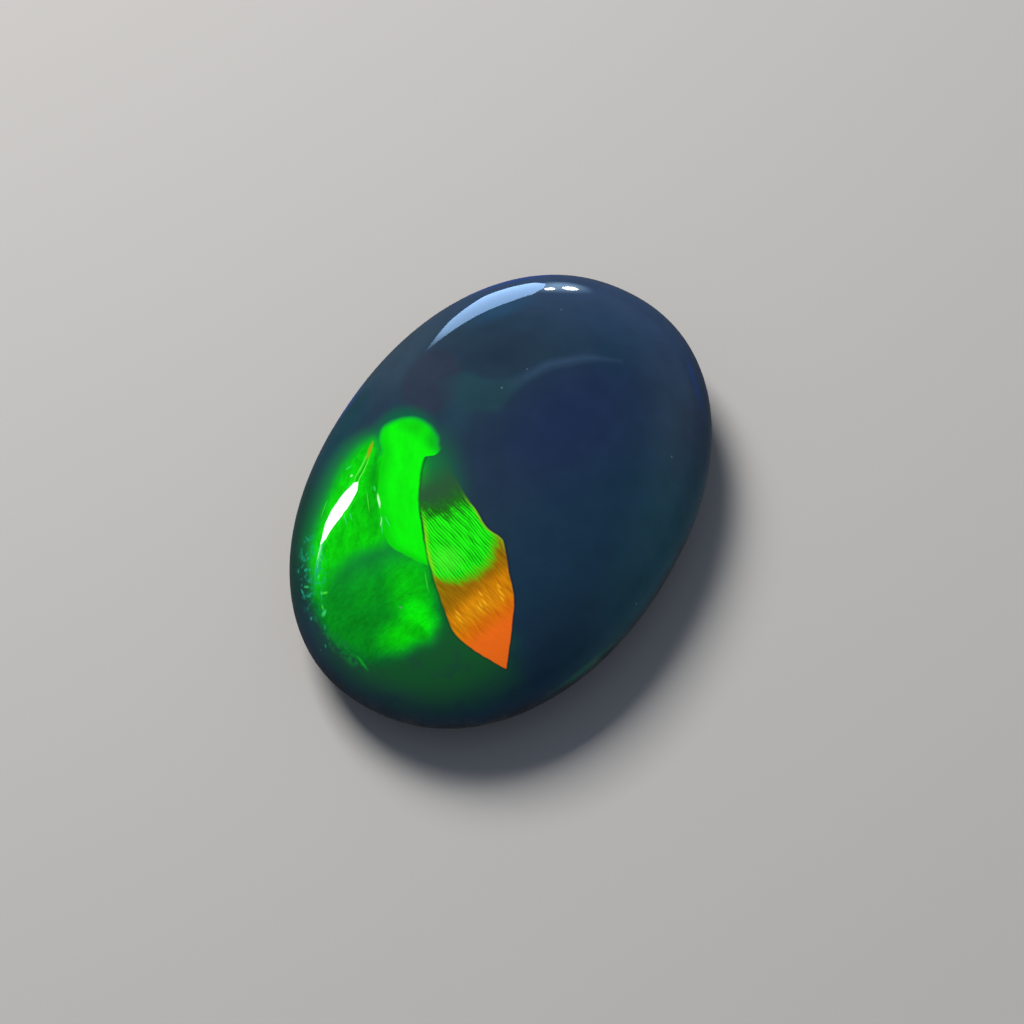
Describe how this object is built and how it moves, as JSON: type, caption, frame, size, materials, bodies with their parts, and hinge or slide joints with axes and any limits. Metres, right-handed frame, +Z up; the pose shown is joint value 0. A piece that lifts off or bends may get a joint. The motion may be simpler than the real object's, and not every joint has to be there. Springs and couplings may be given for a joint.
{
  "type": "black opal cabochon",
  "caption": "Oval black opal cabochon: a low polished dome over a rounded girdle, with a shallow back that rests on a small flat spot.",
  "frame": {"origin": "centre of the flat spot on the back, which is the bottom centre of the bounding box", "axes": "+X along the stone's length, +Y across its width, +Z up from the flat spot through the top of the dome"},
  "size_m": [0.012, 0.0084, 0.0032],
  "materials": {
    "opal": "polished"
  },
  "bodies": {
    "root": {"black_opal": "opal"}
  },
  "joints": []
}
